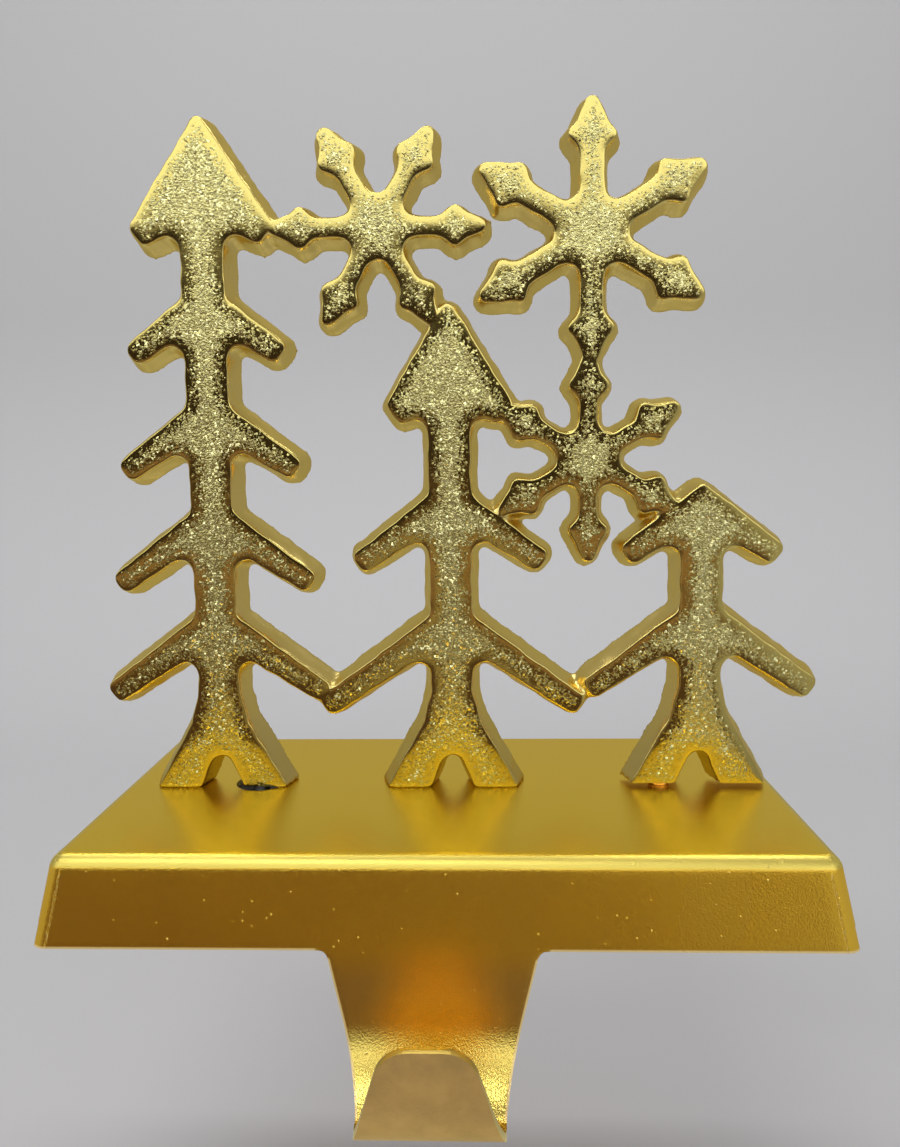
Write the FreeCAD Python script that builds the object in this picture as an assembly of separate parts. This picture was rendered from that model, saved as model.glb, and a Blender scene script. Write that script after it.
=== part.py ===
import FreeCAD, Part
import math
import os

from FreeCAD import Vector

# Mantel stocking holder: a cast openwork ornament stands on a folded sheet tray with a hook.
# The shelf's top front edge is the X axis, and its middle under the tray is the origin.
# X runs along the shelf, Y into the room's wall, Z up. All lengths are millimetres.

# Tray, folded from one sheet: a flat top and four flanges that splay outwards
tray_width = 165.0
tray_depth = 86.0
sheet = 1.5
splay = 10.5
side_drop = 14.0
front_drop = 18.5
bend_radius = 3.5
corner_radius = 3.5
overhang = 3.0

# Hook, a tongue of the front flange that is bent forward and up: a wide bend, a tight one at
# the bottom, and a wide one again, each turning to an angle that is measured from straight down
tongue_centre = -1.7
tongue_root_width = 44.0
tongue_foot_width = 29.4
tongue_root_radius = 2.0
tongue_drop = 13.0
tongue_bend_radius = 20.0
tight_bend_radius = 5.0
tip_bend_radius = 16.0
tight_bend_start = 60.0
tight_bend_end = 135.0
hook_lean = 8.0
tip_rise = 12.2
tip_shoulder_width = 16.0
tip_corner_radius = 7.0

# Ornament casting: thickness, draft of its sides and the soft crown along its front edges.
# A rounded corner is cut as flats that each turn by no more than flat_turn degrees.
casting_thickness = 8.0
casting_setback = 45.7
side_draft = 1.8
crown_width = 1.6
crown_height = 0.35
flat_turn = 30.0

# Fir trees: half widths are taken at the back, where the draft leaves the casting widest
stem_half = 7.0
branch_root = 13.5
branch_tip = 9.0
branch_droop = 35.0
foot_inner = 6.0
foot_outer = 22.0
crotch_height = 8.5
leg_height = 21.0
ground_off = 6.0
outer_round = 3.6
inner_round = 1.2
leg_round = 14.0

tall_tree_x = -57.0
tall_tree_height = 167.0
tall_tree_tiers = 5
tall_tree_first_tier = 38.0
tall_tree_last_tier = 141.0
tall_tree_wide = 28.5
tall_tree_narrow = 17.0

middle_tree_x = 1.5
middle_tree_height = 124.0
middle_tree_tiers = 3
middle_tree_first_tier = 38.0
middle_tree_last_tier = 97.0
middle_tree_wide = 33.5
middle_tree_narrow = 15.0

short_tree_x = 62.5
short_tree_height = 77.0
short_tree_tiers = 2
short_tree_first_tier = 38.0
short_tree_last_tier = 65.0
short_tree_wide = 29.0
short_tree_narrow = 20.0

# Snowflakes: centres are above the tray's top, and turn is from an upright arm
snowflake_arms = 6
low_flake_x = 35.0
low_flake_z = 81.6
low_flake_reach = 26.6
low_flake_arm_half = 4.1
low_flake_turn = 0.0
high_flake_x = 35.5
high_flake_z = 134.5
high_flake_reach = 31.0
high_flake_arm_half = 4.7
high_flake_turn = 0.0
left_flake_x = -15.0
left_flake_z = 136.5
left_flake_reach = 27.5
left_flake_arm_half = 4.1
left_flake_turn = 30.0
knob_neck = 13.4
knob_lobe = 17.6
knob_half = 8.1
knob_waist = 20.8
knob_waist_half = 4.9
knob_tip = 32.5

# Fixing: a screw from below into one foot of the tall tree and one of the short tree
screw_diameter = 4.0
screw_offset = 9.0
screw_grip = 7.0
screw_point = 0.5
screw_clearance = 0.1
tapped_depth = 8.5
head_diameter = 8.0
head_height = 2.6
head_bevel = 1.2
drive_width = 4.4
drive_slot = 0.9
drive_depth = 1.5
hole_clearance = 0.25
left_hole_diameter = 12.5
left_washer_diameter = 20.0
left_washer_height = 1.5
right_washer_diameter = 9.0
right_washer_height = 0.8
collar_diameter = 5.4
collar_height = 1.0

tray_top = side_drop
slope = math.tan(math.radians(splay))
sheet_across = sheet / math.cos(math.radians(splay))
front_edge_y = -overhang
casting_back_y = front_edge_y + casting_setback + casting_thickness / 2
casting_middle_y = casting_back_y - casting_thickness / 2
left_screw_x = tall_tree_x + screw_offset
right_screw_x = short_tree_x - screw_offset
flange_foot = tray_top - front_drop


def unit(x, z):
    length = math.hypot(x, z)
    return x / length, z / length


def corner_arcs(corners, inset):
    """Arcs that round a polygon's corners, once its sides have moved inwards by inset.

    Corners are (x, z, radius), anticlockwise seen from the front. An arc comes back as its start,
    middle, end and centre, all as x and z, and its turn in radians, which is negative in a notch.
    Moving the sides leaves an arc's centre where it was, and its radius changes by inset.
    """
    arcs = []
    for i, (cx, cz, radius) in enumerate(corners):
        px, pz, _ = corners[i - 1]
        nx, nz, _ = corners[(i + 1) % len(corners)]
        ax, az = unit(cx - px, cz - pz)
        bx, bz = unit(nx - cx, nz - cz)
        turn = math.atan2(ax * bz - az * bx, ax * bx + az * bz)
        shift = inset / (1 + ax * bx + az * bz)
        cx -= shift * (az + bz)
        cz += shift * (ax + bx)
        size = 0.0
        if radius > 0:
            size = radius - inset if turn > 0 else radius + inset
        reach = size * math.tan(abs(turn) / 2)
        mx, mz = unit(bx - ax, bz - az)
        away = size / math.cos(turn / 2)
        arcs.append((
            (cx - ax * reach, cz - az * reach),
            (cx + mx * (away - size), cz + mz * (away - size)),
            (cx + bx * reach, cz + bz * reach),
            (cx + mx * away, cz + mz * away),
            turn,
        ))
    return arcs


def arc_face(corners, y):
    """Flat face in the plane at y, inside a polygon with rounded corners."""
    arcs = corner_arcs(corners, 0.0)
    edges = []
    for i, (start, middle, end, _, _) in enumerate(arcs):
        following = arcs[(i + 1) % len(arcs)][0]
        points = [Vector(x, y, z) for x, z in (start, middle, end, following)]
        if start != end:
            edges.append(Part.Arc(*points[:3]).toShape())
        edges.append(Part.LineSegment(points[2], points[3]).toShape())
    return Part.Face(Part.Wire(edges))


def stepped_ring(corners, inset, y):
    """Closed ring of points in the plane at y, with each corner's arc stepped into short flats."""
    ring = []
    for start, _, end, centre, turn in corner_arcs(corners, inset):
        steps = math.ceil(abs(turn) / math.radians(flat_turn)) if start != end else 0
        dx = start[0] - centre[0]
        dz = start[1] - centre[1]
        for k in range(steps + 1):
            angle = turn * k / max(steps, 1)
            x = centre[0] + dx * math.cos(angle) - dz * math.sin(angle)
            z = centre[1] + dx * math.sin(angle) + dz * math.cos(angle)
            ring.append(Vector(x, y, z))
    return ring + ring[:1]


def solid_within(rings):
    """Solid inside stacked rings of points: a flat face at each end and quads between rings."""
    loops = [rings[0], rings[-1]]
    for low, high in zip(rings, rings[1:]):
        for i in range(len(low) - 1):
            loops.append([low[i], low[i + 1], high[i + 1], high[i], low[i]])
    shell = Part.makeShell([Part.Face(Part.makePolygon(loop)) for loop in loops])
    shell.sewShape()
    return Part.makeSolid(shell)


def cast_form(corners):
    """Solid with drafted sides and a crowned front edge, over the outline of its flat back."""
    levels = [
        (0.0, 0.0),
        (side_draft, casting_thickness - crown_height),
        (side_draft + crown_width, casting_thickness),
    ]
    rings = [stepped_ring(corners, inset, casting_back_y - depth) for inset, depth in levels]
    return solid_within(rings)


def tree_corners(x, base, height, tiers, first_tier, last_tier, wide, narrow):
    """Outline of a fir tree on two splayed feet, with drooping branches that flare to slab ends."""
    droop = math.radians(branch_droop)
    half = [
        (foot_inner, base - ground_off, outer_round),
        (foot_outer, base - ground_off, outer_round),
        (stem_half, base + leg_height, leg_round),
    ]
    for tier in range(tiers):
        share = tier / (tiers - 1)
        root = base + first_tier + (last_tier - first_tier) * share
        reach = wide + (narrow - wide) * share - stem_half
        tip_x = stem_half + reach
        tip_z = root - reach * math.tan(droop)
        across_x = branch_tip / 2 * math.sin(droop)
        across_z = branch_tip / 2 * math.cos(droop)
        half += [
            (stem_half, root - branch_root / 2, inner_round),
            (tip_x - across_x, tip_z - across_z, outer_round),
            (tip_x + across_x, tip_z + across_z, outer_round),
        ]
        if tier < tiers - 1:
            half.append((stem_half, root + branch_root / 2, inner_round))
    right = [(x + dx, tray_top + z, radius) for dx, z, radius in half]
    left = [(x - dx, tray_top + z, radius) for dx, z, radius in reversed(half)]
    crotch = (x, tray_top + base + crotch_height, inner_round)
    apex = (x, tray_top + base + height, outer_round)
    return [crotch] + right + [apex] + left


def snowflake_corners(x, z, reach, arm_half, turn):
    """Outline of a snowflake whose arms end in three-lobed knobs."""
    half_gap = math.pi / snowflake_arms
    knob = reach - low_flake_reach
    grow = arm_half / low_flake_arm_half
    hub = arm_half / math.sin(half_gap)
    side = [
        (knob + knob_neck, arm_half, inner_round),
        (knob + knob_lobe, knob_half * grow, outer_round),
        (knob + knob_waist, knob_waist_half * grow, inner_round),
    ]
    arm = [(u, -v, radius) for u, v, radius in side]
    arm.append((knob + knob_tip, 0.0, outer_round))
    arm += list(reversed(side))
    arm.append((hub * math.cos(half_gap), hub * math.sin(half_gap), inner_round))
    corners = []
    for k in range(snowflake_arms):
        angle = math.radians(90.0 + turn + 360.0 * k / snowflake_arms)
        for u, v, radius in arm:
            dx = u * math.cos(angle) - v * math.sin(angle)
            dz = u * math.sin(angle) + v * math.cos(angle)
            corners.append((x + dx, tray_top + z + dz, radius))
    return corners


def ornament_casting():
    """Three fir trees and three snowflakes cast in one piece, ground flat under the feet."""
    outlines = [
        tree_corners(tall_tree_x, 0.0, tall_tree_height, tall_tree_tiers, tall_tree_first_tier,
                     tall_tree_last_tier, tall_tree_wide, tall_tree_narrow),
        tree_corners(middle_tree_x, 0.0, middle_tree_height, middle_tree_tiers,
                     middle_tree_first_tier, middle_tree_last_tier, middle_tree_wide,
                     middle_tree_narrow),
        tree_corners(short_tree_x, collar_height, short_tree_height, short_tree_tiers,
                     short_tree_first_tier, short_tree_last_tier, short_tree_wide,
                     short_tree_narrow),
        snowflake_corners(low_flake_x, low_flake_z, low_flake_reach, low_flake_arm_half,
                          low_flake_turn),
        snowflake_corners(high_flake_x, high_flake_z, high_flake_reach, high_flake_arm_half,
                          high_flake_turn),
        snowflake_corners(left_flake_x, left_flake_z, left_flake_reach, left_flake_arm_half,
                          left_flake_turn),
    ]
    forms = [cast_form(corners) for corners in outlines]
    casting = forms[0].multiFuse(forms[1:]).removeSplitter()
    for centre, floor in ((tall_tree_x, 0.0), (middle_tree_x, 0.0), (short_tree_x, collar_height)):
        width = 3 * foot_outer
        depth = 2 * casting_thickness
        corner = Vector(centre - width / 2, casting_middle_y - depth / 2, tray_top + floor - depth)
        casting = casting.cut(Part.makeBox(width, depth, depth, corner))
    for x, floor in ((left_screw_x, 0.0), (right_screw_x, collar_height)):
        mouth = Vector(x, casting_middle_y, tray_top + floor)
        bore = screw_diameter / 2 + screw_clearance
        casting = casting.cut(Part.makeCylinder(bore, tapped_depth, mouth))
    return casting.removeSplitter()


def splayed_block(inward, top, bottom, edge_radius, rim_radius):
    """Block with splayed sides, set in from the tray's outer faces, with rounded upper edges."""
    rings = []
    for z in (top, bottom):
        spread = (tray_top - z) * slope - inward
        x = tray_width / 2 + spread
        front = front_edge_y - spread
        back = front_edge_y + tray_depth + spread
        points = [(-x, front), (x, front), (x, back), (-x, back), (-x, front)]
        rings.append([Vector(px, py, z) for px, py in points])
    block = solid_within(rings)
    corners = [edge for edge in block.Edges if edge.BoundBox.ZLength > (top - bottom) / 2]
    block = block.makeFillet(edge_radius, corners)
    rims = [edge for edge in block.Edges if edge.BoundBox.ZMin > (top + bottom) / 2]
    return block.makeFillet(rim_radius, rims)


def heading(angle):
    """Direction in the hook's side view, by an angle from straight down towards the room."""
    turn = math.radians(angle)
    return Vector(0, -math.sin(turn), -math.cos(turn))


def hook_path():
    """Side view of the hook's inside: points and headings where its straights and bends meet."""
    enter_z = flange_foot - tongue_drop
    place = Vector(0, front_edge_y - (tray_top - enter_z) * slope, enter_z)
    angle = splay
    path = [(place - heading(angle) * (tongue_drop + 2 * sheet), angle), (place, angle)]
    for radius, end in ((tongue_bend_radius, tight_bend_start),
                        (tight_bend_radius, tight_bend_end),
                        (tip_bend_radius, 180.0 - hook_lean)):
        centre = place + heading(angle + 90) * radius
        middle = centre - heading((angle + end) / 2 + 90) * radius
        place = centre - heading(end + 90) * radius
        path += [(middle, (angle + end) / 2), (place, end)]
        angle = end
    path.append((place + heading(angle) * tip_rise, angle))
    return path


def hook_strip(width):
    """The bent strip of the hook at one width, as long as the tongue, bends and tip."""
    path = hook_path()
    inside = [place for place, _ in path]
    outside = [place - heading(angle + 90) * sheet for place, angle in path]
    edges = [Part.LineSegment(inside[-1], outside[-1]), Part.LineSegment(outside[0], inside[0])]
    for side in (inside, outside):
        edges.append(Part.LineSegment(side[0], side[1]))
        for i in (1, 3, 5):
            edges.append(Part.Arc(side[i], side[i + 1], side[i + 2]))
        edges.append(Part.LineSegment(side[7], side[8]))
    outline = Part.Wire(Part.__sortEdges__([edge.toShape() for edge in edges]))
    face = Part.Face(outline)
    face.translate(Vector(tongue_centre - width / 2, 0, 0))
    return face.extrude(Vector(width, 0, 0))


def hook():
    """Hook cut to its outline: a tongue that narrows downwards, and an arched tip."""
    root = tongue_root_width / 2
    foot = tongue_foot_width / 2
    shelf = root + 3 * tongue_root_radius
    strip = hook_strip(2 * shelf)
    low = strip.BoundBox.ZMin
    trough_z = low + sheet
    bottom_y = (strip.BoundBox.YMin + hook_path()[1][0].y) / 2
    tip_z = hook_path()[-1][0].z
    tongue = [
        (-foot, low - sheet, 0.0),
        (foot, low - sheet, 0.0),
        (foot, trough_z, 0.0),
        (root, flange_foot, tongue_root_radius),
        (shelf, flange_foot, 0.0),
        (shelf, flange_foot + 2 * sheet, 0.0),
        (-shelf, flange_foot + 2 * sheet, 0.0),
        (-shelf, flange_foot, 0.0),
        (-root, flange_foot, tongue_root_radius),
        (-foot, trough_z, 0.0),
    ]
    shoulder = tip_shoulder_width / 2
    tip = [
        (-foot, low - sheet, 0.0),
        (foot, low - sheet, 0.0),
        (foot, trough_z, 0.0),
        (shoulder, tip_z, tip_corner_radius),
        (-shoulder, tip_z, tip_corner_radius),
        (-foot, trough_z, 0.0),
    ]
    pieces = []
    for corners, reach in ((tongue, tray_depth), (tip, -tray_depth)):
        placed = [(tongue_centre + x, z, radius) for x, z, radius in corners]
        face = arc_face(placed, bottom_y)
        pieces.append(face.extrude(Vector(0, reach, 0)).common(strip))
    return pieces[0].fuse(pieces[1])


def base_tray():
    """One folded sheet: the top, its four flanges welded at the corners, and the hook."""
    outer = splayed_block(0.0, tray_top, flange_foot, corner_radius, bend_radius)
    inner = splayed_block(sheet_across, tray_top - sheet, flange_foot - sheet,
                          corner_radius - sheet, bend_radius - sheet)
    tray = outer.cut(inner)
    inner_face = front_edge_y - side_drop * slope + sheet_across
    room = 2 * (tray_width + tray_depth)
    shelf = Part.makeBox(room, room, front_drop, Vector(-room / 2, inner_face, -front_drop))
    tray = tray.cut(shelf).fuse(hook())
    for x, diameter in ((left_screw_x, left_hole_diameter),
                        (right_screw_x, screw_diameter + 2 * hole_clearance)):
        below = Vector(x, casting_middle_y, tray_top - 2 * sheet)
        tray = tray.cut(Part.makeCylinder(diameter / 2, 3 * sheet, below))
    return tray.removeSplitter()


def ring(x, z, height, diameter):
    """Flat ring round a screw."""
    bore = screw_diameter / 2 + screw_clearance
    outer = Part.makeCylinder(diameter / 2, height, Vector(x, casting_middle_y, z))
    return outer.cut(Part.makeCylinder(bore, height, Vector(x, casting_middle_y, z)))


def screw(x, head_top, foot_z):
    """Pan head screw that points up, with a cross recess, up to its grip in the casting."""
    seat = Vector(x, casting_middle_y, head_top)
    head = Part.makeCylinder(head_diameter / 2, head_height, seat - Vector(0, 0, head_height))
    rim = [edge for edge in head.Edges if edge.BoundBox.ZMax < head_top - head_height / 2]
    head = head.makeChamfer(head_bevel, rim)
    shank = Part.makeCylinder(screw_diameter / 2, foot_z + screw_grip - head_top, seat)
    tip = [edge for edge in shank.Edges if edge.BoundBox.ZMin > head_top + screw_grip / 2]
    solid = head.fuse(shank.makeChamfer(screw_point, tip))
    floor = head_top - head_height
    for length, width in ((drive_width, drive_slot), (drive_slot, drive_width)):
        corner = Vector(x - length / 2, casting_middle_y - width / 2, floor)
        solid = solid.cut(Part.makeBox(length, width, drive_depth, corner))
    return solid.removeSplitter()


def parts():
    under_tray = tray_top - sheet
    left_seat = under_tray - left_washer_height
    right_seat = under_tray - right_washer_height
    return {
        "base_tray": base_tray(),
        "ornament_casting": ornament_casting(),
        "left_washer": ring(left_screw_x, left_seat, left_washer_height, left_washer_diameter),
        "right_washer": ring(right_screw_x, right_seat, right_washer_height,
                             right_washer_diameter),
        "foot_collar": ring(right_screw_x, tray_top, collar_height, collar_diameter),
        "left_screw": screw(left_screw_x, left_seat, tray_top),
        "right_screw": screw(right_screw_x, right_seat, tray_top + collar_height),
    }


os.makedirs("parts", exist_ok=True)
for name, shape in parts().items():
    shape.exportStep("parts/" + name + ".step")
    box = shape.BoundBox
    print(name, "solids", len(shape.Solids), "valid", shape.isValid(), "volume",
          round(shape.Volume, 1), "box", [round(v, 2) for v in (box.XMin, box.XMax, box.YMin,
                                                                box.YMax, box.ZMin, box.ZMax)])
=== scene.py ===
import math

import bmesh
import bpy
import mathutils
import numpy as np
from mathutils import Matrix, Vector
from mathutils.kdtree import KDTree


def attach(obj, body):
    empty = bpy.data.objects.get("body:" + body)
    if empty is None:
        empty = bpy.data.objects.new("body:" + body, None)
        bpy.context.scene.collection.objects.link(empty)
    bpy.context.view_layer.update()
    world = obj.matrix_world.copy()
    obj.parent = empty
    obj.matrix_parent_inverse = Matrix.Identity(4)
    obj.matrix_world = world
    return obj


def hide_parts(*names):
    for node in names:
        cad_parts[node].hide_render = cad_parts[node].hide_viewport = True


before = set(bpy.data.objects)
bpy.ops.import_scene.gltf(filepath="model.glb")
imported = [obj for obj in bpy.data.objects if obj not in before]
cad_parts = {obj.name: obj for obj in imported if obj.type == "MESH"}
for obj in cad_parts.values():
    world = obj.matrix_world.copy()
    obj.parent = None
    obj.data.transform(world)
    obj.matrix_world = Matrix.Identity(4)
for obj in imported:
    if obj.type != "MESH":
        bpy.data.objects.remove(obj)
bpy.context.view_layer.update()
mm = 0.001
print("frame loaded")


# Helpers for meshes and pieces

def makeMesh(name, points, faces):
    mesh = bpy.data.meshes.new(name)
    mesh.from_pydata(np.asarray(points).tolist(), [], np.asarray(faces).tolist())
    mesh.update()
    return mesh


# Quads between each row of point numbers and the next
def joinRows(rows):
    upper, lower = rows[:-1], rows[1:]
    corners = [upper[:, :-1], lower[:, :-1], lower[:, 1:], upper[:, 1:]]
    return np.stack(corners, axis=-1).reshape(-1, 4)


def closeRows(rows):
    return np.hstack([rows, rows[:, :1]])


def makeObject(name, mesh):
    obj = bpy.data.objects.new(name, mesh)
    bpy.context.scene.collection.objects.link(obj)
    return obj


# A CAD node's mesh is loose triangles, so a copy is merged before anything else is done to it
def mergedCopy(node):
    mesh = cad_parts[node].data.copy()
    mesh.materials.clear()
    work = bmesh.new()
    work.from_mesh(mesh)
    bmesh.ops.remove_doubles(work, verts=work.verts, dist=0.001 * mm)
    bmesh.ops.recalc_face_normals(work, faces=work.faces)
    work.to_mesh(mesh)
    work.free()
    return mesh


def bakeModifiers(obj):
    graph = bpy.context.evaluated_depsgraph_get()
    mesh = bpy.data.meshes.new_from_object(obj.evaluated_get(graph))
    obj.modifiers.clear()
    obj.data = mesh
    return mesh


def readPoints(mesh):
    flat = np.empty(len(mesh.vertices) * 3)
    mesh.vertices.foreach_get("co", flat)
    return flat.reshape(-1, 3)


def writePoints(mesh, points):
    mesh.vertices.foreach_set("co", np.ascontiguousarray(points).ravel())
    mesh.update()


def addAttribute(mesh, name, values, domain="POINT"):
    made = mesh.attributes.new(name, "FLOAT", domain)
    made.data.foreach_set("value", np.ascontiguousarray(values, dtype=np.float32))


def smoothShade(obj, angle=None):
    obj.data.polygons.foreach_set("use_smooth", [True] * len(obj.data.polygons))
    if angle is not None:
        obj.data.set_sharp_from_angle(angle=math.radians(angle))


def addBevel(obj, width, segments, angle):
    bevel = obj.modifiers.new("rounding", "BEVEL")
    bevel.width = width * mm
    bevel.segments = segments
    bevel.limit_method = "ANGLE"
    bevel.angle_limit = math.radians(angle)
    return bevel


def finishPiece(obj, material, slotName, *nodes):
    obj.data.materials.clear()
    obj.data.materials.append(material)
    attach(obj, "root")
    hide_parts(*nodes)


# Helpers for shader nodes. An input is a constant or another node's output.

def setSocket(tree, socket, value):
    if isinstance(value, bpy.types.NodeSocket):
        tree.links.new(value, socket)
    else:
        socket.default_value = value


# Inputs are given by name, or as i0, i1 and so on by place
def addNode(tree, kind, settings=None, **inputs):
    made = tree.nodes.new("ShaderNode" + kind)
    for key, value in (settings or {}).items():
        setattr(made, key, value)
    for key, value in inputs.items():
        numbered = key[0] == "i" and key[1:].isdigit()
        setSocket(tree, made.inputs[int(key[1:]) if numbered else key], value)
    return made


def mathNode(tree, operation, a, b=0.0, clamp=False):
    return addNode(tree, "Math", {"operation": operation, "use_clamp": clamp}, i0=a, i1=b).outputs[0]


def times(tree, a, b):
    return mathNode(tree, "MULTIPLY", a, b)


# A start value, plus each mask times its share
def weighted(tree, start, *shares):
    total = start
    for mask, share in shares:
        total = mathNode(tree, "ADD", total, times(tree, mask, share))
    return total


def vectorNode(tree, operation, a, b=(0.0, 0.0, 0.0)):
    return addNode(tree, "VectorMath", {"operation": operation}, i0=a, i1=b).outputs[0]


def scaleVector(tree, vector, amount):
    return addNode(tree, "VectorMath", {"operation": "SCALE"}, i0=vector, Scale=amount).outputs[0]


def splitVector(tree, vector):
    return addNode(tree, "SeparateXYZ", Vector=vector).outputs


def attribute(tree, name):
    return addNode(tree, "Attribute", {"attribute_name": name}).outputs["Fac"]


# Smooth step from toLow at low to toHigh at high, where low may be the larger one
def ramp(tree, value, low, high, toLow=0.0, toHigh=1.0):
    made = addNode(tree, "MapRange", {"interpolation_type": "SMOOTHSTEP"}, Value=value)
    made.inputs["From Min"].default_value = low
    made.inputs["From Max"].default_value = high
    made.inputs["To Min"].default_value = toLow
    made.inputs["To Max"].default_value = toHigh
    return made.outputs[0]


def blendColor(tree, amount, a, b):
    return addNode(tree, "Mix", {"data_type": "RGBA"}, i0=amount, i6=a, i7=b).outputs[2]


def noise(tree, place, scale, detail=2.0, rough=0.5):
    return addNode(tree, "TexNoise", Vector=place, Scale=scale, Detail=detail, Roughness=rough).outputs[0]


def startMaterial(name):
    material = bpy.data.materials.new(name)
    material.use_nodes = True
    tree = material.node_tree
    tree.nodes.clear()
    shader = addNode(tree, "BsdfPrincipled")
    output = addNode(tree, "OutputMaterial")
    tree.links.new(shader.outputs[0], output.inputs[0])
    place = addNode(tree, "TexCoord").outputs["Object"]
    return material, tree, shader, place


def setShader(tree, shader, values):
    for name, value in values.items():
        setSocket(tree, shader.inputs[name], value)


def startGroup(name, inputs, outputs):
    group = bpy.data.node_groups.new(name, "ShaderNodeTree")
    for label, kind, value in inputs:
        socket = group.interface.new_socket(label, in_out="INPUT", socket_type="NodeSocket" + kind)
        if value is not None:
            socket.default_value = value
    for label, kind in outputs:
        group.interface.new_socket(label, in_out="OUTPUT", socket_type="NodeSocket" + kind)
    entry = group.nodes.new("NodeGroupInput")
    leave = group.nodes.new("NodeGroupOutput")
    return group, entry.outputs, leave.inputs


def useGroup(tree, group, place, values):
    made = tree.nodes.new("ShaderNodeGroup")
    made.node_tree = group
    setShader(tree, made, {"Vector": place, **values})
    return made.outputs


# Effects that several finishes share

# Grains: cells of a sand mould's print. Most lie nearly flat and a few are tilted steeply.
sand = {"fineScale": 1500.0, "ripple": 0.7 * mm, "steepPower": 3.2, "leastTilt": 0.05, "dome": 0.35}


def grainGroup():
    group, given, put = startGroup(
        "sandGrains",
        [("Vector", "Vector", None), ("Size", "Float", 2400.0), ("Tilt", "Float", 1.0)],
        [("Height", "Float"), ("Lean", "Vector"), ("Steep", "Float"), ("Chance", "Float")])
    place = given["Vector"]
    ripple = addNode(group, "TexNoise", Vector=place, Scale=sand["fineScale"], Detail=2.0).outputs["Color"]
    shifted = vectorNode(group, "ADD", place, vectorNode(group, "MULTIPLY", ripple, (sand["ripple"],) * 3))
    cells = addNode(group, "TexVoronoi", {"feature": "F1"}, Vector=shifted, Scale=given["Size"]).outputs
    dice = addNode(group, "TexWhiteNoise", {"noise_dimensions": "3D"}, Vector=cells["Position"]).outputs
    steep = mathNode(group, "POWER", dice["Value"], sand["steepPower"])
    amount = times(group, given["Tilt"], mathNode(group, "ADD", steep, sand["leastTilt"]))
    lean = vectorNode(group, "SUBTRACT", cells["Color"], (0.5, 0.5, 0.5))
    fine = noise(group, place, sand["fineScale"], 3.0, 0.65)
    group.links.new(weighted(group, fine, (cells["Distance"], -sand["dome"])), put["Height"])
    group.links.new(scaleVector(group, lean, amount), put["Lean"])
    group.links.new(steep, put["Steep"])
    group.links.new(addNode(group, "SeparateColor", Color=dice["Color"]).outputs[1], put["Chance"])
    return group


# Specks: a few small round grains, chosen at random among cells
def speckGroup():
    group, given, put = startGroup(
        "dustSpecks",
        [("Vector", "Vector", None), ("Size", "Float", 420.0), ("Share", "Float", 0.1),
         ("Radius", "Float", 0.12)],
        [("Mask", "Float")])
    place, size = given["Vector"], given["Size"]
    cells = addNode(group, "TexVoronoi", {"feature": "F1"}, Vector=place, Scale=size).outputs
    pick = addNode(group, "SeparateColor", Color=cells["Color"]).outputs[0]
    chosen = mathNode(group, "LESS_THAN", pick, given["Share"])
    away = mathNode(group, "DIVIDE", cells["Distance"], given["Radius"])
    near = mathNode(group, "SUBTRACT", 1.0, away, clamp=True)
    group.links.new(times(group, chosen, near), put["Mask"])
    return group


sandGrains = grainGroup()
dustSpecks = speckGroup()
print("shared shader groups built")


# Tray: one skin of the sheet's outer face, thickened inwards. Rings round the tray run down from the
# top's edge over the bend and down the flanges; the front ring goes on into the tongue and the hook.
# Lengths are in mm. Each hook bend is its inside radius, the angle it ends at and its number of rows.

tray = {
    "halfWidth": 82.5,
    "frontY": -3.0,
    "backY": 83.0,
    "topZ": 14.0,
    "splay": 10.5,
    "sheet": 1.5,
    "bend": 3.5,
    "corner": 3.5,
    "cornerLeast": 0.02,
    "support": 0.5,
    "footZ": -4.5,
    "tongueX": -1.7,
    "rootHalf": 22.0,
    "footHalf": 14.7,
    "rootRound": 2.0,
    "tongueDrop": 13.0,
    "hookBends": ((20.0, 60.0, 20), (5.0, 135.0, 14), (16.0, 172.0, 10)),
    "tipRise": 12.2,
    "tipHalf": 8.0,
    "tipRound": 7.0,
    "tipStart": 6.0,
    "polishRise": 13.0,
    "polishFade": 5.0,
    "holes": ((-48.0, 42.7, 6.25), (53.5, 42.7, 2.25)),
    "rounding": 0.65,
    "sideCount": 22,
    "cornerCount": 8,
    "cornerWrap": 5,
    "tongueCount": 26,
    "bendCount": 10,
    "flangeCount": 7,
    "footCount": 3,
    "notchCount": 7,
    "dropCount": 12,
    "tipCount": 14,
    "holeCount": 48,
}
splay = math.radians(tray["splay"])
traySlope = math.tan(splay)


# Unit (y, z) direction in the hook's side view, by an angle from straight down towards the room
def heading(angle):
    turn = np.radians(angle)
    return np.stack([-np.sin(turn), -np.cos(turn)], axis=-1)


# Front face of the tongue and hook in the side view, as rows of (y, z): down the tongue, round each
# bend as centre - r heading(angle + 90), and up the tip by 1 - (1 - s) squared
def hookPath():
    enterZ = tray["footZ"] - tray["tongueDrop"]
    place = np.array([tray["frontY"] - (tray["topZ"] - enterZ) * traySlope, enterZ])
    angle = tray["splay"]
    drops = np.concatenate([np.linspace(0.15, tray["rootRound"], tray["notchCount"]),
                            np.linspace(3.0, tray["tongueDrop"], tray["dropCount"])])
    parts = [place + np.outer(tray["tongueDrop"] - drops, [traySlope, 1.0])]
    for radius, end, count in tray["hookBends"]:
        centre = place + heading(angle + 90) * radius
        parts.append(centre - heading(np.linspace(angle, end, count + 1)[1:] + 90) * radius)
        place, angle = parts[-1][-1], end
    shares = 1 - (1 - np.linspace(0.08, 1.0, tray["tipCount"])) ** 2
    parts.append(place + np.outer(tray["tipRise"] * shares, heading(angle)))
    return np.concatenate(parts)


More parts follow.
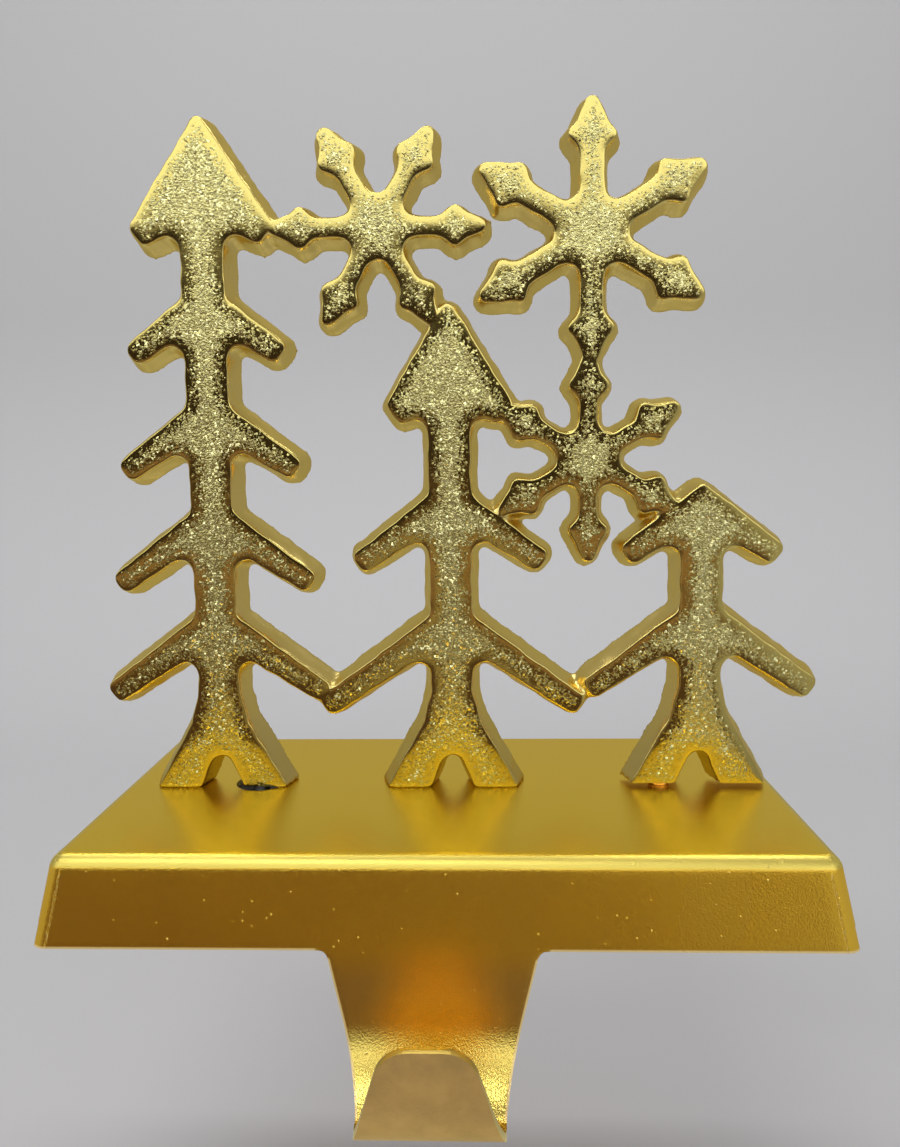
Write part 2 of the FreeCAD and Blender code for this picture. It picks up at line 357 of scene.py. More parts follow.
hookPoints = hookPath()
hookLow = hookPoints[:, 1].min()
hookTop = hookPoints[-1, 1]
hookMiddle = (hookPoints[-1, 0] + hookPoints[tray["notchCount"] + tray["dropCount"] - 1, 0]) / 2
taper = (tray["rootHalf"] - tray["footHalf"]) / (tray["footZ"] - hookLow)
rootTangent = tray["rootRound"] * math.tan((math.pi / 2 - math.atan(taper)) / 2)


# One ring round the tray: the front side's columns from left to right, then each corner and the next
# side in turn. A point of a corner's arc is centre + r (cos t, sin t).
def trayRing(spread, radius, z):
    a = tray["halfWidth"] + spread
    front, back = tray["frontY"] - spread, tray["backY"] + spread
    edge, near, far = a - radius, front + radius, back - radius
    left = tray["tongueX"] - tray["rootHalf"] - rootTangent
    right = tray["tongueX"] + tray["rootHalf"] + rootTangent
    n = tray["sideCount"]
    xs = np.concatenate([np.linspace(-edge, left, n, endpoint=False),
                         np.linspace(left, right, tray["tongueCount"], endpoint=False),
                         np.linspace(right, edge, n + 1)])
    depth = np.linspace(near, far, n + 1)
    width = np.linspace(edge, -edge, 2 * n + 1)
    sides = ((a, depth), (width, back), (-a, depth[::-1]), (np.empty(0), back))
    turns = np.radians(90 * np.arange(1, tray["cornerCount"]) / tray["cornerCount"])
    centres = ((edge, near), (edge, far), (-edge, far), (-edge, near))
    xy = [np.column_stack(np.broadcast_arrays(xs, front))]
    for i, (centre, side) in enumerate(zip(centres, sides)):
        t = turns + (i - 1) * math.pi / 2
        xy.append(np.array(centre) + radius * np.column_stack([np.cos(t), np.sin(t)]))
        xy.append(np.column_stack(np.broadcast_arrays(*side)))
    xy = np.concatenate(xy)
    return np.column_stack([xy, np.full(len(xy), z)])


# Spread, corner radius and height of each ring: over the bend as r (sin t, cos t), then down the flange
def trayStations():
    bend, top = tray["bend"], tray["topZ"]
    inset = bend * math.tan((math.pi / 2 - splay) / 2)
    t = np.linspace(0.0, math.pi / 2 - splay, tray["bendCount"] + 1)
    over = [bend * np.sin(t) - inset, np.maximum(tray["corner"] * np.sin(t), tray["cornerLeast"]),
            top - bend + bend * np.cos(t)]
    z = np.linspace(over[2][-1] - 1.5, 0.0, tray["flangeCount"])
    down = [(top - z) * traySlope, np.full(len(z), tray["corner"]), z]
    start = [[-inset - tray["support"]], [tray["cornerLeast"]], [top]]
    return np.hstack([start, over, down]).T


# Half width of the tongue, with the rounded notch at its root, from the height
def tongueHalf(z):
    down = tray["footZ"] - z
    rest = tray["rootRound"] - down
    arc = np.sqrt(np.maximum(tray["rootRound"] ** 2 - rest ** 2, 0.0))
    inNotch = down < rootTangent * math.cos(math.atan(taper))
    return np.where(inNotch, tray["rootHalf"] + rootTangent - arc, tray["rootHalf"] - taper * down)


# Half width of the tip, which narrows from the bottom to its rounded shoulders
def tipHalf(z):
    lean = math.atan((tray["footHalf"] - tray["tipHalf"]) / (hookTop - hookLow))
    radius = tray["tipRound"]
    arcX = tray["tipHalf"] - radius * math.tan((math.pi / 2 - lean) / 2)
    up = z - (hookTop - radius)
    arc = arcX + np.sqrt(np.maximum(radius ** 2 - up ** 2, 0.0))
    return np.where(up > radius * math.sin(lean), arc, tray["tipHalf"] + (hookTop - z) * math.tan(lean))


# Points and faces of the skin, and the closed loops that bound the top
def traySkin():
    rings = np.array([trayRing(*station) for station in trayStations()])
    count = rings.shape[1]
    grid = np.arange(rings.shape[0] * count).reshape(-1, count)
    points, faces, used = [rings.reshape(-1, 3)], [joinRows(closeRows(grid))], grid.size
    # The front flange goes on below the shelf's top, round the front part of each corner
    wrap, n = tray["cornerWrap"], tray["sideCount"]
    keep = np.arange(-wrap, 2 * n + tray["tongueCount"] + 1 + wrap) % count
    heights = np.linspace(0.0, tray["footZ"], tray["footCount"] + 1)[1:]
    foot = np.array([trayRing((tray["topZ"] - z) * traySlope, tray["corner"], z)[keep] for z in heights])
    rows = used + np.arange(foot.shape[0] * len(keep)).reshape(-1, len(keep))
    points.append(foot.reshape(-1, 3))
    faces.append(joinRows(np.vstack([grid[-1, keep], rows])))
    used += rows.size
    # The tongue and hook: x = middle + share of the half width, along the path in the side view
    y, z = hookPoints.T
    half = np.where(y < hookMiddle, tipHalf(z), tongueHalf(z))
    x = tray["tongueX"] + np.outer(half, np.linspace(-1.0, 1.0, tray["tongueCount"] + 1))
    hook = np.stack([x, *np.broadcast_arrays(y[:, None], z[:, None], x)[:2]], axis=-1)
    above = rows[-1, wrap + n:wrap + n + tray["tongueCount"] + 1]
    rows = used + np.arange(x.size).reshape(x.shape)
    points.append(hook.reshape(-1, 3))
    faces.append(joinRows(np.vstack([above, rows])))
    used += rows.size
    # Each hole: a circle centre + r (cos t, sin t), with a second one round it
    loops = [grid[0]]
    t = 2 * np.pi * np.arange(tray["holeCount"]) / tray["holeCount"]
    for cx, cy, radius in tray["holes"]:
        for size in (radius, radius + tray["support"]):
            circle = [cx + size * np.cos(t), cy + size * np.sin(t), np.full(len(t), tray["topZ"])]
            points.append(np.column_stack(circle))
        rows = used + np.arange(2 * len(t)).reshape(2, -1)
        faces.append(joinRows(closeRows(rows)))
        loops.append(rows[1])
        used += rows.size
    return np.concatenate(points) * mm, np.concatenate(faces), loops


# The tray's finish: gold paint, brushed on top, and polished in the hook's trough. The tongue's darker,
# redder tone is painted shade with a warm glow, and the paler colour on the bend and in the trough is a
# painted highlight.
# Each pair is a ramp's start and end. Rise is the height of the surface's normal, from -1 to 1.

trayLook = {
    "color": (0.94, 0.60, 0.065, 1.0),
    "deepColor": (0.88, 0.52, 0.045, 1.0),
    "topColor": (0.87, 0.60, 0.055, 1.0),
    "tongueShadeGlowColor": (0.74, 0.46, 0.09, 1.0),
    "highlightPaleColor": (0.60, 0.52, 0.13, 1.0),
    "tipInnerColor": (0.62, 0.53, 0.30, 1.0),
    "underColor": (0.58, 0.37, 0.13, 1.0),
    "seamColor": (0.50, 0.24, 0.02, 1.0),
    "speckColor": (0.92, 0.76, 0.36, 1.0),
    "rimHighlightColor": (0.90, 0.78, 0.36, 1.0),
    "rimTopShadeColor": (0.48, 0.35, 0.09, 1.0),
    "edgeHighlightColor": (0.80, 0.60, 0.26, 1.0),
    "grazeTint": (1.0, 0.92, 0.62, 1.0),
    "topRise": (0.75, 0.98),
    "tongueZ": (-3.0 * mm, -12.0 * mm),
    "bendRise": (0.22, 0.5),
    "bendEnd": (1.0, 0.9),
    "lipRise": (0.0, 0.5),
    "cloudScale": 28.0,
    "cloudColor": (0.35, 0.7),
    "cloudRough": (0.3, 0.75),
    "stainScale": 120.0,
    "stainRange": (0.3, 0.7, 0.86, 1.08),
    "streakScale": (60.0, 2600.0, 2600.0),
    "grainScale": 2300.0,
    "beadRange": (0.5, 0.62),
    "specks": {"Size": 300.0, "Share": 0.07, "Radius": 0.08},
    "dust": {"Size": 1000.0, "Share": 0.05, "Radius": 0.25},
    "dustShare": 0.6,
    "speckShow": (0.1, 0.5, 0.0, 0.5),
    "seamShow": 0.5,
    "beadShow": 0.8,
    "polishHighlight": 0.62,
    "bendHighlight": 0.8,
    "edgeHighlightDull": 0.7,
    "seamHalf": 0.35 * mm,
    "seamScale": 500.0,
    "seamWander": 0.6 * mm,
    "seamStart": (2.5 * mm, 4.5 * mm),
    "knotX": 81.2 * mm,
    "knotIn": 1.2 * mm,
    "knotReach": (2.2 * mm, 0.8 * mm),
    "lineHalf": 0.6 * mm,
    "lineFull": 0.4,
    "lineGap": (1.5 * mm, 2.5 * mm),
    "lineStart": (-1.0 * mm, -2.0 * mm),
    "topRough": 0.15,
    "flangeRough": 0.21,
    "underRough": 0.42,
    "bendRough": 0.10,
    "cloudAdds": 0.07,
    "seamAdds": 0.12,
    "polishTakes": 0.09,
    "streakRelief": 0.3,
    "speckRelief": 1.8,
    "pebbleRelief": 0.55,
    "bendPebbles": 0.6,
    "beadRelief": 3.0,
    "seamRelief": -0.4,
    "relief": 0.09 * mm,
    "reliefStrength": 0.7,
    "dentScale": 34.0,
    "dentDepth": 0.6 * mm,
    "dentStrength": 0.35,
}


# The closed corners: a thin groove down the front face at each end, and a blob of weld at its top
def seamMasks(tree, place, at):
    look = trayLook
    top = tray["topZ"] * mm
    away = mathNode(tree, "ABSOLUTE", at[0])
    down = mathNode(tree, "SUBTRACT", top, at[2])
    line = weighted(tree, (tray["halfWidth"] - tray["corner"]) * mm, (down, traySlope))
    shift = mathNode(tree, "SUBTRACT", noise(tree, place, look["seamScale"]), 0.5)
    off = weighted(tree, mathNode(tree, "SUBTRACT", away, line), (shift, look["seamWander"]))
    front = mathNode(tree, "LESS_THAN", at[1], 0.0)
    below = times(tree, front, ramp(tree, down, *look["seamStart"]))
    seam = times(tree, ramp(tree, mathNode(tree, "ABSOLUTE", off), look["seamHalf"], 0.0), below)
    flip = addNode(tree, "CombineXYZ", X=away, Y=at[1], Z=at[2]).outputs[0]
    centre = (look["knotX"], -look["knotIn"], top - look["knotIn"])
    gap = addNode(tree, "VectorMath", {"operation": "DISTANCE"}, i0=flip, i1=centre).outputs["Value"]
    return seam, ramp(tree, gap, *look["knotReach"])


# Painted highlights: bright lines along the front flange's foot and the tongue's two sides, on the cut
# edge
def paintedEdgeHighlights(tree, at):
    look = trayLook
    full = look["lineHalf"] * look["lineFull"]
    foot, root = tray["footZ"] * mm, tray["rootHalf"] * mm
    away = mathNode(tree, "ABSOLUTE", mathNode(tree, "SUBTRACT", at[0], tray["tongueX"] * mm))
    drop = mathNode(tree, "SUBTRACT", at[2], foot)
    low = times(tree, ramp(tree, mathNode(tree, "ABSOLUTE", drop), look["lineHalf"], full),
                ramp(tree, away, root + look["lineGap"][0], root + look["lineGap"][1]))
    off = mathNode(tree, "ABSOLUTE", mathNode(tree, "SUBTRACT", weighted(tree, root, (drop, taper)), away))
    sides = times(tree, ramp(tree, off, look["lineHalf"], full), ramp(tree, drop, *look["lineStart"]))
    behind = mathNode(tree, "GREATER_THAN", at[1], hookMiddle * mm)
    both = mathNode(tree, "MAXIMUM", low, times(tree, sides, behind))
    return times(tree, both, mathNode(tree, "LESS_THAN", at[1], 0.0))


def trayMaterial():
    material, tree, shader, place = startMaterial("trayGold")
    look = trayLook
    at = splitVector(tree, place)
    rise = splitVector(tree, addNode(tree, "NewGeometry").outputs["Normal"])[2]
    under, rim = attribute(tree, "under"), attribute(tree, "rimEdge")
    polishAndHighlight, tipInner = attribute(tree, "polishAndHighlight"), attribute(tree, "tipInner")
    # Where each part of the finish lies
    flat = ramp(tree, rise, *look["topRise"])
    bent = times(tree, ramp(tree, rise, *look["bendRise"]), ramp(tree, rise, *look["bendEnd"]))
    bent = times(tree, bent, mathNode(tree, "SUBTRACT", 1.0, polishAndHighlight))
    edgeHighlight = paintedEdgeHighlights(tree, at)
    seam, knot = seamMasks(tree, place, at)
    streaks = noise(tree, vectorNode(tree, "MULTIPLY", place, look["streakScale"]), 1.0, 3.0, 0.6)
    skin = noise(tree, place, look["grainScale"], 3.0, 0.65)
    cloud = noise(tree, place, look["cloudScale"], 3.0, 0.55)
    specks, dust = (useGroup(tree, dustSpecks, place, look[key])[0] for key in ("specks", "dust"))
    marks = mathNode(tree, "MAXIMUM", specks, times(tree, dust, look["dustShare"]))
    bead = times(tree, mathNode(tree, "MAXIMUM", seam, knot), ramp(tree, skin, *look["beadRange"]))
    # Colour, from the broad areas to the edges
    color = blendColor(tree, ramp(tree, cloud, *look["cloudColor"]), look["color"], look["deepColor"])
    color = blendColor(tree, flat, color, look["topColor"])
    # Painted shade with a warm glow: the tongue, below the front flange, is darker and redder
    color = blendColor(tree, ramp(tree, at[2], *look["tongueZ"]), color, look["tongueShadeGlowColor"])
    color = blendColor(tree, ramp(tree, marks, *look["speckShow"]), color, look["speckColor"])
    color = blendColor(tree, times(tree, seam, look["seamShow"]), color, look["seamColor"])
    color = blendColor(tree, times(tree, bead, look["beadShow"]), color, look["speckColor"])
    # Painted highlight: the bend and the hook's trough are blended towards a paler colour where the lamps'
    # highlights fall
    paintedHighlight = weighted(tree, 0.0, (polishAndHighlight, look["polishHighlight"]), (bent, look["bendHighlight"]))
    color = blendColor(tree, paintedHighlight, color, look["highlightPaleColor"])
    color = blendColor(tree, tipInner, color, look["tipInnerColor"])
    color = blendColor(tree, under, color, look["underColor"])
    stain = ramp(tree, noise(tree, place, look["stainScale"], 4.0, 0.6), *look["stainRange"])
    color = blendColor(tree, under, color, scaleVector(tree, color, stain))
    # Cut edges: a pale painted highlight where they face down or sideways, and darker painted shade where
    # they face up
    rimLightAndShade = blendColor(tree, ramp(tree, rise, *look["lipRise"]), look["rimHighlightColor"], look["rimTopShadeColor"])
    color = blendColor(tree, rim, color, rimLightAndShade)
    # Painted highlight: pale lines along the flange's foot and the tongue's sides
    color = blendColor(tree, edgeHighlight, color, look["edgeHighlightColor"])
    rough = weighted(
        tree, look["flangeRough"], (flat, look["topRough"] - look["flangeRough"]),
        (ramp(tree, cloud, *look["cloudRough"]), look["cloudAdds"]), (seam, look["seamAdds"]),
        (polishAndHighlight, -look["polishTakes"]), (bent, look["bendRough"]),
        (under, look["underRough"] - look["flangeRough"]))
    pebbles = times(tree, noise(tree, place, look["grainScale"], 2.0, 0.6),
                    weighted(tree, polishAndHighlight, (bent, look["bendPebbles"])))
    height = weighted(
        tree, skin, (times(tree, streaks, flat), look["streakRelief"]), (marks, look["speckRelief"]),
        (pebbles, look["pebbleRelief"]), (bead, look["beadRelief"]), (seam, look["seamRelief"]))
    waves = noise(tree, place, look["dentScale"], 1.0, 0.4)
    dents = addNode(tree, "Bump", Strength=look["dentStrength"], Distance=look["dentDepth"], Height=waves)
    bump = addNode(tree, "Bump", Strength=look["reliefStrength"], Distance=look["relief"], Height=height,
                   Normal=dents.outputs[0])
    # The painted edge highlights are made less metallic, so the lamps light them as a pale line
    setShader(tree, shader, {
        "Base Color": color, "Roughness": rough, "Normal": bump.outputs[0],
        "Metallic": mathNode(tree, "SUBTRACT", 1.0, times(tree, edgeHighlight, look["edgeHighlightDull"])),
        "Specular Tint": look["grazeTint"]})
    return material


# The sheet is the skin thickened inwards, with its cut edges rounded. They are marked by a second
# material slot, which is read back into an attribute after baking.
def buildTray():
    points, faces, loops = traySkin()
    mesh = makeMesh("foldedTray", points, faces)
    work = bmesh.new()
    work.from_mesh(mesh)
    work.verts.ensure_lookup_table()
    pairs = [pair for loop in loops for pair in zip(loop.tolist(), np.roll(loop, -1).tolist())]
    bounds = [work.edges.get((work.verts[a], work.verts[b])) for a, b in pairs]
    bmesh.ops.triangle_fill(work, edges=bounds, use_beauty=True, normal=(0, 0, 1))
    bmesh.ops.recalc_face_normals(work, faces=work.faces)
    work.to_mesh(mesh)
    work.free()
    obj = makeObject("foldedTray", mesh)
    solid = obj.modifiers.new("sheet", "SOLIDIFY")
    solid.thickness = tray["sheet"] * mm
    solid.offset = -1.0
    solid.use_even_offset = True
    solid.shell_vertex_group = obj.vertex_groups.new(name="innerFace").name
    trayGold = trayMaterial()
    for _ in range(2):
        obj.data.materials.append(trayGold)
    solid.material_offset_rim = 1
    addBevel(obj, tray["rounding"], 3, 50).material = 1
    mesh = bakeModifiers(obj)
    addAttribute(mesh, "rimEdge", [float(face.material_index) for face in mesh.polygons], "FACE")
    mesh.polygons.foreach_set("material_index", [0] * len(mesh.polygons))
    addAttribute(mesh, "under", [max((g.weight for g in v.groups), default=0.0) for v in mesh.vertices])
    obj.vertex_groups.clear()
    y, z = readPoints(mesh).T[1:] / mm
    # The trough's mask makes it smoother, and also carries its painted highlight
    low = np.clip((hookLow + tray["polishRise"] - z) / tray["polishFade"], 0.0, 1.0)
    addAttribute(mesh, "tipInner", (y < hookMiddle) & (z > hookLow + tray["tipStart"]))
    addAttribute(mesh, "polishAndHighlight", low * low * (3 - 2 * low))
    smoothShade(obj, 35)
    finishPiece(obj, trayGold, "tray_gold", "base_tray")
    print("tray:", len(mesh.polygons), "faces")


buildTray()


# Ornament casting: the CAD form, remeshed finely so that every edge gets a cast edge's softness, and
# swayed a little. Reach is the distance in mm from the flat front's rim, below zero outside it.

castPiece = {"voxel": 0.75 * mm, "smoothPasses": 3, "frontDepth": 0.12 * mm, "rimDepth": 0.02 * mm,
             "step": 0.25 * mm, "sway": 0.3 * mm, "swayScale": 260.0, "swayFade": 6.0 * mm,
             "seed": 4}

castLook = {
    "grainColor": (0.80, 0.75, 0.38, 1.0),
    "faceColor": (0.60, 0.54, 0.21, 1.0),
    "edgeColor": (0.60, 0.49, 0.15, 1.0),
    "sideColor": (0.66, 0.51, 0.17, 1.0),
    "grazeTint": (0.98, 0.86, 0.45, 1.0),
    "grains": {"Size": 2000.0, "Tilt": 0.9},
    "grainRelief": 0.19 * mm,
    "faceRough": 0.14,
    "edgeRough": 0.12,
    "sideRough": 0.3,
    "driftScale": 160.0,
    "bandStart": 0.2,
    "bandFade": 1.5,
    "bandDrift": 2.2,
    "bandGrain": 0.03,
    "sideReach": (-1.3, -2.0),
    "sideGrain": 0.10,
    "patchRange": (0.5, 0.62),
    "patchGrain": 0.30,
    "turnReach": (-1.75, -1.25),
    "flatten": 0.8,
    "shadeTop": 45.0 * mm,
    "shadeShare": 0.76,
}


def castMaterial():
    material, tree, shader, place = startMaterial("castGold")
    look = castLook
    reach = attribute(tree, "reach")
    grains = useGroup(tree, sandGrains, place, look["grains"])
    broad = noise(tree, place, look["driftScale"])
    # How far in the grains begin drifts along the edge, and they thin out one by one
    drift, scatter = (mathNode(tree, "SUBTRACT", value, 0.5) for value in (broad, grains["Chance"]))
    inward = weighted(tree, reach, (drift, look["bandDrift"]), (scatter, look["bandFade"] * 2))
    grainy = ramp(tree, inward, look["bandStart"], look["bandStart"] + look["bandFade"])
    side = ramp(tree, reach, *look["sideReach"])
    patch = times(tree, side, ramp(tree, broad, *look["patchRange"]))
    grit = weighted(tree, 0.0, (side, look["sideGrain"]), (patch, look["patchGrain"]))
    rough = mathNode(tree, "MAXIMUM", grainy, grit)
    face = blendColor(tree, grains["Steep"], look["faceColor"], look["grainColor"])
    color = blendColor(tree, grainy, look["edgeColor"], face)
    color = blendColor(tree, side, color, look["sideColor"])
    # Painted shade: the casting is darker low down, nearest the tray
    lowShade = ramp(tree, splitVector(tree, place)[2], tray["topZ"] * mm, look["shadeTop"], look["shadeShare"])
    sheen = weighted(tree, look["edgeRough"], (grainy, look["faceRough"] - look["edgeRough"]),
                     (side, look["sideRough"] - look["edgeRough"]))
    height = times(tree, grains["Height"], mathNode(tree, "ADD", rough, look["bandGrain"]))
    # The polished band is nearly level with the face, and turns over only at its very edge
    level = ramp(tree, reach, *look["turnReach"], 0.0, look["flatten"])
    bare = addNode(tree, "NewGeometry").outputs["Normal"]
    ahead = vectorNode(tree, "SUBTRACT", (0.0, -1.0, 0.0), bare)
    normal = vectorNode(tree, "ADD", bare, scaleVector(tree, ahead, level))
    leaning = vectorNode(tree, "ADD", normal, scaleVector(tree, grains["Lean"], rough))
    bump = addNode(tree, "Bump", Strength=1.0, Distance=look["grainRelief"], Height=height,
                   Normal=vectorNode(tree, "NORMALIZE", leaning))
    setShader(tree, shader, {
        "Base Color": scaleVector(tree, color, lowShade), "Roughness": sheen, "Normal": bump.outputs[0],
        "Metallic": 1.0, "Specular Tint": look["grazeTint"]})
    return material


# Points along the rim of the casting's flat front, where the crown starts
def frontRim(mesh, frontY):
    use = {}
    for face in mesh.polygons:
        if all(mesh.vertices[v].co.y < frontY + castPiece["rimDepth"] for v in face.vertices):
            for key in face.edge_keys:
                use[key] = use.get(key, 0) + 1
    samples = []
    for (a, b), count in use.items():
        if count == 1:
            start, end = mesh.vertices[a].co, mesh.vertices[b].co
            steps = max(1, int((end - start).length / castPiece["step"]))
            samples += [start.lerp(end, k / steps) for k in range(steps)]
    return samples


def buildCasting():
    source = mergedCopy("ornament_casting")
    frontY = min(v.co.y for v in source.vertices)
    rim = frontRim(source, frontY)
    nearest = KDTree(len(rim))
    for i, point in enumerate(rim):
        nearest.insert(point, i)
    nearest.balance()
    obj = makeObject("castOrnament", source)
    remesh = obj.modifiers.new("remesh", "REMESH")
    remesh.mode = "VOXEL"
    remesh.voxel_size = castPiece["voxel"]
    soften = obj.modifiers.new("soften", "SMOOTH")
    soften.factor = 0.5
    soften.iterations = castPiece["smoothPasses"]
    mesh = bakeModifiers(obj)
    points = readPoints(mesh)
    low, high = points.min(axis=0), points.max(axis=0)
    mathutils.noise.seed_set(castPiece["seed"])
    sway = np.array([mathutils.noise.noise_vector(p * castPiece["swayScale"]) for p in points])
    fade = np.clip((points[:, 2] - low[2]) / castPiece["swayFade"], 0.0, 1.0)[:, None]
    sway[:, 1] = 0.0
    writePoints(mesh, np.clip(points + sway * fade * castPiece["sway"], low, high))
    away = np.array([nearest.find(Vector(point))[2] for point in points]) / mm
    inside = points[:, 1] < frontY + castPiece["frontDepth"]
    addAttribute(mesh, "reach", np.where(inside, away, -away))
    smoothShade(obj)
    finishPiece(obj, castMaterial(), "cast_gold", "ornament_casting")
    print("casting:", len(mesh.polygons), "faces")


buildCasting()


# Fasteners and rings: the CAD forms with softened edges, in plain metals

plainLook = {
    # The zinc's colour is painted dark, as painted shade, so the washer seen through the hole in front of
    # the left foot reads black
    "zinc": {"color": (0.16, 0.16, 0.17, 1.0), "rough": 0.45, "scratch": 0.3},
    "copper": {"color": (0.85, 0.5, 0.34, 1.0), "rough": 0.25, "scratch": 0.2},
    "scratchScale": 2600.0,
    "scratchDepth": 0.03 * mm,
    "cloudScale": 300.0,
    "cloudRange": (0.3, 0.7),
    "smoother": 0.05,
    "rougher": 0.08,
}


def plainMetal(name, metal):
    material, tree, shader, place = startMaterial(name)
    look = plainLook
    rough = metal["rough"]
    fine = noise(tree, place, look["scratchScale"], 3.0, 0.6)
    cloud = noise(tree, place, look["cloudScale"])
    bump = addNode(tree, "Bump", Strength=metal["scratch"], Distance=look["scratchDepth"], Height=fine)
    cloudy = ramp(tree, cloud, *look["cloudRange"], rough - look["smoother"], rough + look["rougher"])
    setShader(tree, shader, {
        "Base Color": metal["color"], "Metallic": 1.0, "Roughness": cloudy, "Normal": bump.outputs[0]})
    return material


def softCopy(node, name, material, slotName, width):
    obj = makeObject(name, mergedCopy(node))
    addBevel(obj, width, 2, 40)
    bakeModifiers(obj)
    smoothShade(obj, 35)
    finishPiece(obj, material, slotName, node)


shadedZincSteel = plainMetal("shadedZincSteel", plainLook["zinc"])
copperCollar = plainMetal("copperCollar", plainLook["copper"])
softCopy("left_screw", "leftScrew", shadedZincSteel, "zinc_steel", 0.12)
softCopy("right_screw", "rightScrew", shadedZincSteel, "zinc_steel", 0.12)
softCopy("left_washer", "leftWasher", shadedZincSteel, "zinc_steel", 0.15)
softCopy("right_washer", "rightWasher", shadedZincSteel, "zinc_steel", 0.1)
softCopy("foot_collar", "footCollar", copperCollar, "copper_collar", 0.12)
print("fasteners built")


# Stage: a pale sweep of floor and wall, seen at an even tone. Metal mirrors the room behind it.

stageLook = {"floorZ": -0.1, "wallY": 0.75, "round": 0.35, "reach": 1.6, "height": 1.6, "arcCount": 13,
             "color": (0.466, 0.461, 0.470, 1.0), "rough": 0.9, "specular": 0.1}


# The profile is the floor, an arc as centre + r (sin t, -cos t) and the wall, carried along x
def buildSweep():
    look = stageLook
    t = np.radians(np.linspace(0.0, 90.0, look["arcCount"]))
    arcY = look["wallY"] - look["round"] + look["round"] * np.sin(t)
    arcZ = look["floorZ"] + look["round"] - look["round"] * np.cos(t)
    y = np.concatenate([[-look["reach"]], arcY, [look["wallY"]]])
    z = np.concatenate([[look["floorZ"]], arcZ, [look["height"]]])
    x = np.tile([-look["reach"], look["reach"]], len(y))
    points = np.column_stack([x, np.repeat(y, 2), np.repeat(z, 2)])
    rows = np.arange(len(points)).reshape(-1, 2)
    obj = makeObject("sweep", makeMesh("sweep", points, joinRows(rows[::-1])))
    smoothShade(obj)
    material, tree, shader, place = startMaterial("paleSweep")
    setShader(tree, shader, {
        "Base Color": look["color"], "Roughness": look["rough"], "Specular IOR Level": look["specular"]})
    path = addNode(tree, "LightPath").outputs
    through = mathNode(tree, "MAXIMUM", path["Is Glossy Ray"], path["Is Shadow Ray"])
    clear = addNode(tree, "BsdfTransparent")
    mix = addNode(tree, "MixShader", i0=through, i1=shader.outputs[0], i2=clear.outputs[0])
    tree.links.new(mix.outputs[0], tree.nodes["Material Output"].inputs[0])
    obj.data.materials.append(material)


buildSweep()


# World: a pale room painted by direction, which the metal mirrors. Each patch is a soft-edged
# window between two turns from the front and two rises above the horizon, in degrees.

worldLook = {
    "paintedHighlight": (0.46, 0.455, 0.45, 1.0),
    "seen": (0.475, 0.468, 0.475, 1.0),
    "patches": (
        {"turn": (-75.0, 60.0), "rise": (16.0, 34.0), "soft": 7.0, "color": (1.8, 1.85, 1.85, 1.0)},
        {"turn": (-170.0, 170.0), "rise": (-85.0, -42.0), "soft": 9.0, "color": (0.68, 0.68, 0.66, 1.0)},
        {"turn": (-50.0, 14.0), "rise": (-26.0, 12.0), "soft": 6.0, "color": (0.10, 0.056, 0.038, 1.0)},
        {"turn": (-50.0, 14.0), "rise": (-6.5, -4.5), "soft": 2.8, "color": (0.42, 0.26, 0.165, 1.0)},
        {"turn": (-46.0, 14.0), "rise": (1.0, 11.0), "soft": 4.0, "color": (0.035, 0.024, 0.018, 1.0)},
        {"turn": (-4.5, -1.5), "rise": (-20.0, -6.0), "soft": 3.0, "color": (0.42, 0.34, 0.22, 1.0)},
    ),
}


# Share of a patch at one value: 1 between the two limits, falling smoothly to 0 outside them
def softWindow(tree, value, limits, soft):
    return times(tree, ramp(tree, value, limits[0] - soft, limits[0]),
                 ramp(tree, value, limits[1] + soft, limits[1]))


def buildWorld():
    world = bpy.data.worlds.new("paleRoom")
    bpy.context.scene.world = world
    world.use_nodes = True
    tree = world.node_tree
    tree.nodes.clear()
    ray = splitVector(tree, addNode(tree, "TexCoord").outputs["Generated"])
    turn = mathNode(tree, "DEGREES", mathNode(tree, "ARCTAN2", ray[0], times(tree, ray[1], -1.0)))
    rise = mathNode(tree, "DEGREES", mathNode(tree, "ARCSINE", ray[2]))
    color = worldLook["paintedHighlight"]
    for patch in worldLook["patches"]:
        amount = times(tree, softWindow(tree, turn, patch["turn"], patch["soft"]),
                       softWindow(tree, rise, patch["rise"], patch["soft"]))
        color = blendColor(tree, amount, color, patch["color"])
    light = addNode(tree, "Background", Color=color, Strength=1.0)
    seen = addNode(tree, "Background", Color=worldLook["seen"], Strength=1.0)
    camera = addNode(tree, "LightPath").outputs["Is Camera Ray"]
    mix = addNode(tree, "MixShader", i0=camera, i1=light.outputs[0], i2=seen.outputs[0])
    tree.links.new(mix.outputs[0], addNode(tree, "OutputWorld").inputs[0])


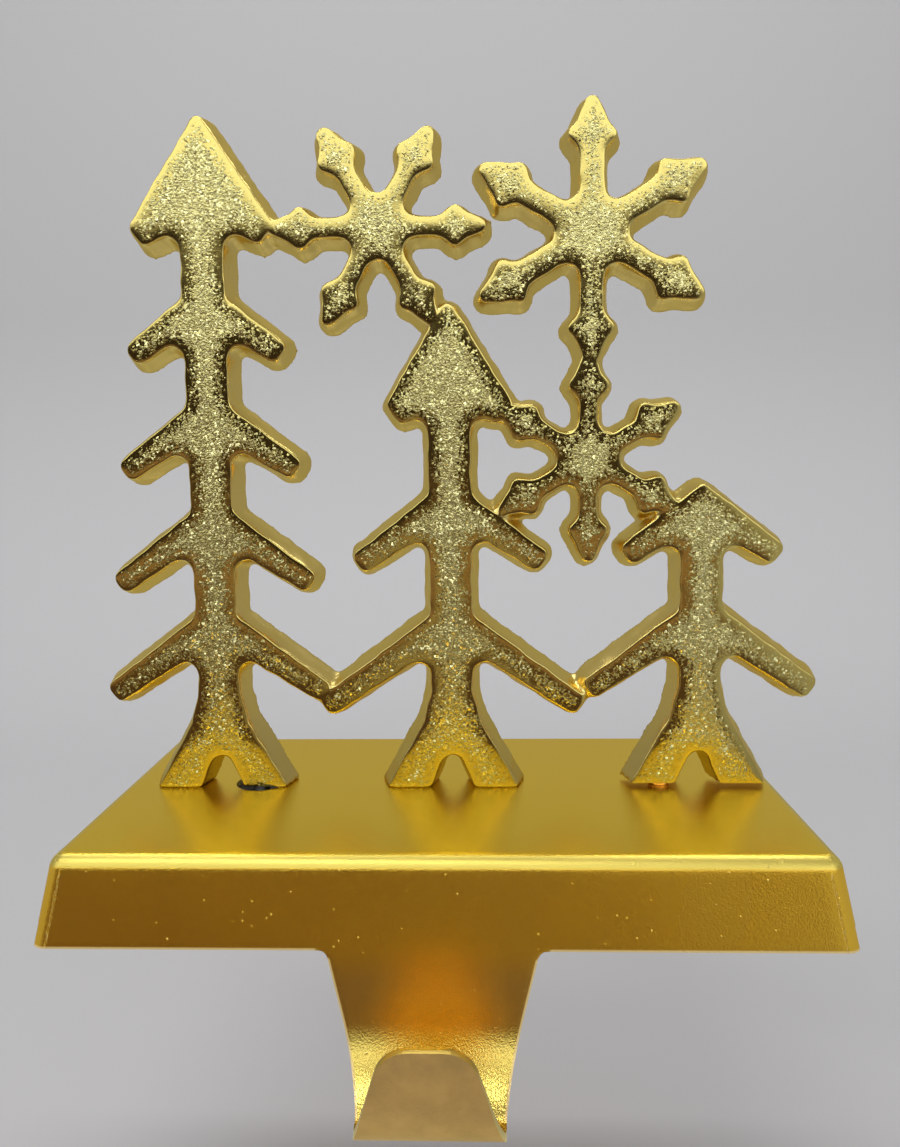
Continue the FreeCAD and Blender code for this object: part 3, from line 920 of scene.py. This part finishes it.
buildWorld()


# Lights: two long ceiling lamps, one in front of the holder and one behind it

lamps = {
    "ceilingFront": {"place": (-0.28, -0.55, 1.1), "size": (0.9, 0.16), "power": 4.2},
    "ceilingBack": {"place": (0.0, 0.3, 1.0), "size": (1.1, 0.18), "power": 4.6},
}
lampAim = (0.0, 0.03, 0.05)


def areaLight(name, place, size, power):
    lamp = bpy.data.lights.new(name, "AREA")
    lamp.shape = "RECTANGLE"
    lamp.size, lamp.size_y = size
    lamp.energy = power
    obj = bpy.data.objects.new(name, lamp)
    bpy.context.scene.collection.objects.link(obj)
    obj.location = place
    obj.rotation_euler = (Vector(lampAim) - Vector(place)).to_track_quat("-Z", "Y").to_euler()


for name, lamp in lamps.items():
    areaLight(name, **lamp)
print("stage and lights built")


# Camera, fitted to the photo: place in mm, turn, pitch and roll in degrees. The focal length and the
# frame's height are in the photo's pixels.

view = {"place": (8.72, -183.61, 93.52), "yaw": -1.907, "pitch": 6.5, "roll": -0.658, "focal": 915.0,
        "frameHeight": 1147, "sensor": 36.0, "nearest": 0.01}


def buildCamera():
    yaw, pitch, roll = (math.radians(view[key]) for key in ("yaw", "pitch", "roll"))
    ahead = Vector((math.sin(yaw) * math.cos(pitch), math.cos(yaw) * math.cos(pitch), -math.sin(pitch)))
    side = Vector((math.cos(yaw), -math.sin(yaw), 0.0))
    up = side.cross(ahead)
    turned = side * math.cos(roll) + up * math.sin(roll)
    upper = up * math.cos(roll) - side * math.sin(roll)
    camera = bpy.data.cameras.new("camera")
    camera.sensor_width = view["sensor"]
    camera.lens = view["focal"] / view["frameHeight"] * view["sensor"]
    camera.clip_start = view["nearest"]
    obj = bpy.data.objects.new("camera", camera)
    bpy.context.scene.collection.objects.link(obj)
    basis = Matrix((turned, upper, -ahead)).transposed().to_4x4()
    obj.matrix_world = Matrix.Translation(Vector(view["place"]) * mm) @ basis
    bpy.context.scene.camera = obj


buildCamera()
bpy.context.scene.view_settings.view_transform = "Standard"
print("camera placed")
